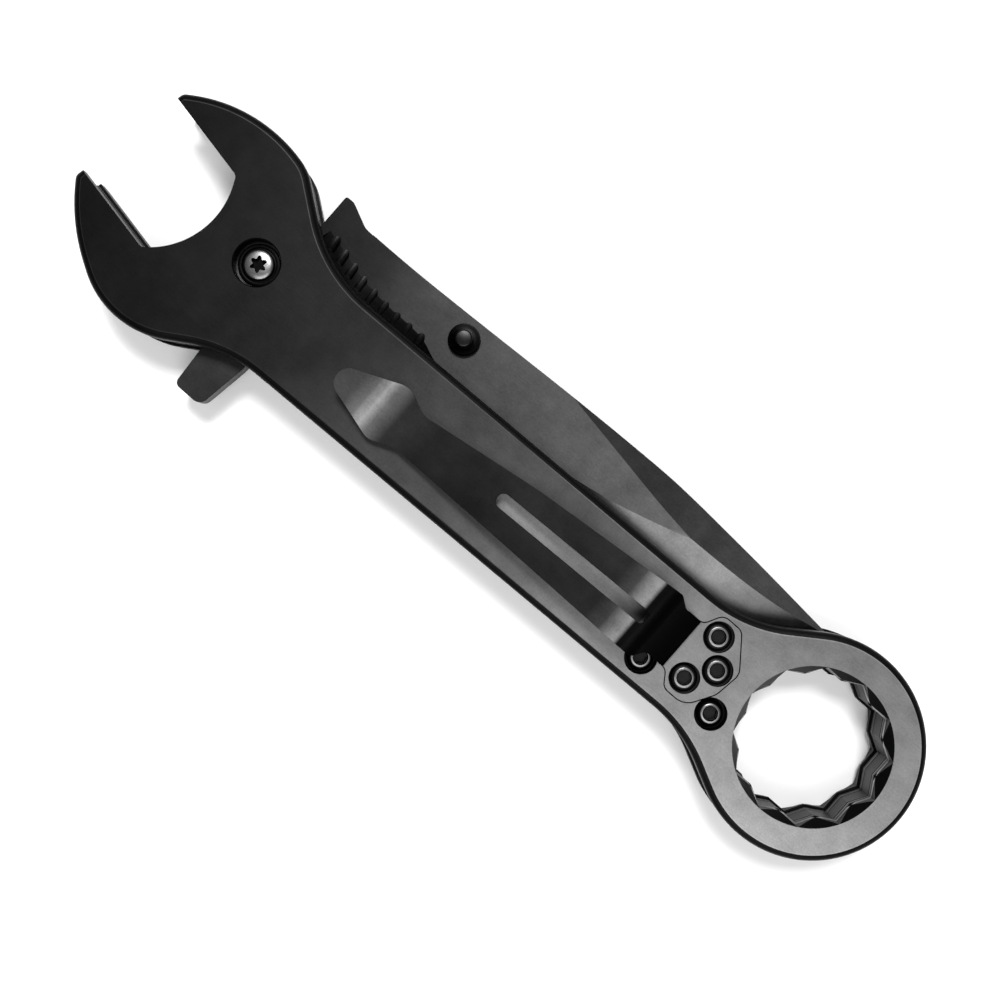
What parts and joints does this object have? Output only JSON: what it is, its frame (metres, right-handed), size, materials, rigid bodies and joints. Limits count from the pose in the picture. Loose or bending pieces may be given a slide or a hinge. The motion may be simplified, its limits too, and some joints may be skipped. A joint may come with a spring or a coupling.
{
  "type": "folding pocket knife with wrench handle",
  "caption": "Folding pocket knife whose handle is a combination wrench, with an open jaw, a box-end ring, a liner lock and a bent pocket clip.",
  "frame": {"origin": "middle of the closed knife's footprint, on the face that it lies on (the rear plate's outer face)", "axes": "+X along the handle from the jaw to the ring, +Y from the handle's back towards the closed blade's spine, +Z from the rear plate towards the clip"},
  "size_m": [0.1588, 0.0398, 0.0166],
  "materials": {
    "plate_steel": "satin grey-black oxide over fine lengthways grain, darker at the jaw and lighter at the ring",
    "liner_steel": "dark satin",
    "blade_steel": "dark grey satin flats, brighter ground bevel",
    "clip_steel": "dark satin spring steel",
    "black_steel": "black oxide, half gloss",
    "spacer_steel": "black, dull",
    "washer_bronze": "plain phosphor bronze"
  },
  "bodies": {
    "handle": {"rear_plate": "plate_steel", "clip_side_plate": "plate_steel", "rear_liner": "liner_steel", "clip_side_liner": "liner_steel", "handle_spacer": "spacer_steel", "pivot_screw": "black_steel", "pivot_barrel": "black_steel", "washer_rear_side": "washer_bronze", "washer_clip_side": "washer_bronze", "stop_pin": "black_steel", "body_screw_1": "black_steel", "body_screw_2": "black_steel", "clip_screw_1": "black_steel", "clip_screw_2": "black_steel", "clip_screw_3": "black_steel", "clip_foot": "plate_steel"},
    "blade": {"blade": "blade_steel", "thumb_stud_clip_side": "black_steel", "thumb_stud_rear_side": "black_steel"},
    "lock_bar": {"lock_bar": "liner_steel"},
    "clip": {"clip_arm": "clip_steel"}
  },
  "joints": [
    {"name": "blade_pivot", "type": "hinge", "parent": "handle", "child": "blade", "pos_m": [-0.04981, 0.0025, 0.0056], "axis": [0, 0, 1], "range_deg": [0, 180]},
    {"name": "lock_bar_bend", "type": "hinge", "parent": "handle", "child": "lock_bar", "pos_m": [0.01219, 0.0025, 0.008], "axis": [0, -1, 0], "range_deg": [0, 3]},
    {"name": "clip_bend", "type": "hinge", "parent": "handle", "child": "clip", "pos_m": [0.03116, 0.0025, 0.0154], "axis": [0, 1, 0], "range_deg": [0, 5], "stiffness_Nm_per_rad": 3}
  ]
}
